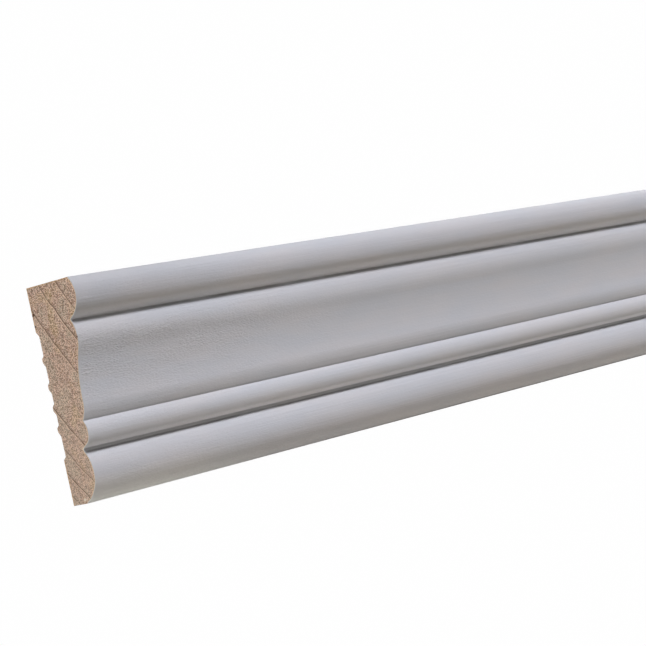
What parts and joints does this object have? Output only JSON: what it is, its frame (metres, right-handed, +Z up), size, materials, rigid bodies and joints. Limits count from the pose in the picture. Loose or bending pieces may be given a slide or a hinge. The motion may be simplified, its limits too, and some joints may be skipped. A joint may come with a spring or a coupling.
{
  "type": "casing moulding",
  "caption": "Length of primed softwood door or window casing: thick beaded outer edge, ogee field, small bead, thin beaded inner edge, relieved back, square-sawn ends.",
  "frame": {"origin": "middle of the flat land at the thick edge of the back, halfway along the length", "axes": "+X along the moulding, +Y out of the flat back towards the wall, +Z up to the thick outer edge, so the moulded face looks along -Y"},
  "size_m": [0.3, 0.0175, 0.0571],
  "materials": {
    "primed_pine": "satin"
  },
  "bodies": {
    "root": {"casing_moulding": "primed_pine"}
  },
  "joints": []
}
